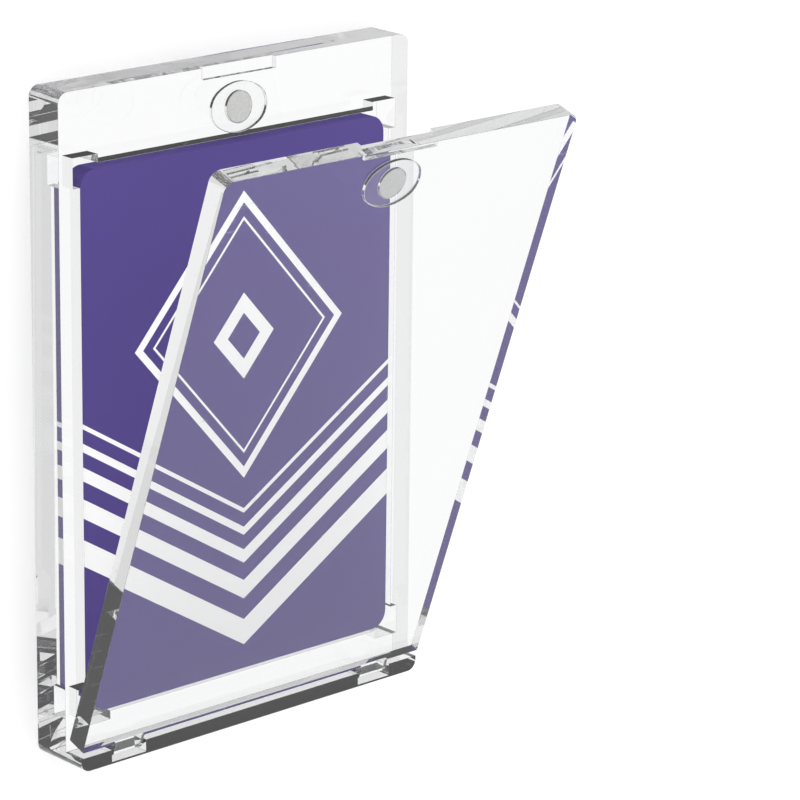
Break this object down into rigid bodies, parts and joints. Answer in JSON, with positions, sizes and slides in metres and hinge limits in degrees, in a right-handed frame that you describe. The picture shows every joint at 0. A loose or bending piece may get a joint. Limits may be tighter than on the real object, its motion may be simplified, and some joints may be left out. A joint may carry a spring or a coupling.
{
  "type": "trading card display case",
  "caption": "Clear magnetic display case for a thick trading card: a pocketed rear shell with a hinge lip, and a swinging front cover.",
  "frame": {"origin": "middle of the bounding box in X and Y, on the rear shell's back face, on which the case lies", "axes": "+X across the case to the right seen from the front, +Y from the hinge lip to the top edge, +Z out of the front"},
  "size_m": [0.0722, 0.1098, 0.0471],
  "materials": {
    "clear_shell": "clear polished acrylic",
    "clear_cover": "clear polished acrylic",
    "clear_plug": "clear polished acrylic",
    "card_print": "thick printed card with a satin coat",
    "magnet_plating": "satin nickel plating"
  },
  "bodies": {
    "shell": {"rear_shell": "clear_shell", "rear_magnet_plug": "clear_plug", "rear_magnet": "magnet_plating"},
    "cover": {"front_cover": "clear_cover", "front_magnet_plug": "clear_plug", "front_magnet": "magnet_plating"},
    "card": {"insert_card": "card_print"}
  },
  "joints": [
    {"name": "cover_hinge", "type": "hinge", "parent": "shell", "child": "cover", "pos_m": [0, -0.05325, 0.01037], "axis": [1, 0, 0], "range_deg": [-19.5, 70]},
    {"name": "card_depth", "type": "slide", "parent": "shell", "child": "card", "axis": [0, 0, 1], "range_m": [0, 0.0005]}
  ]
}
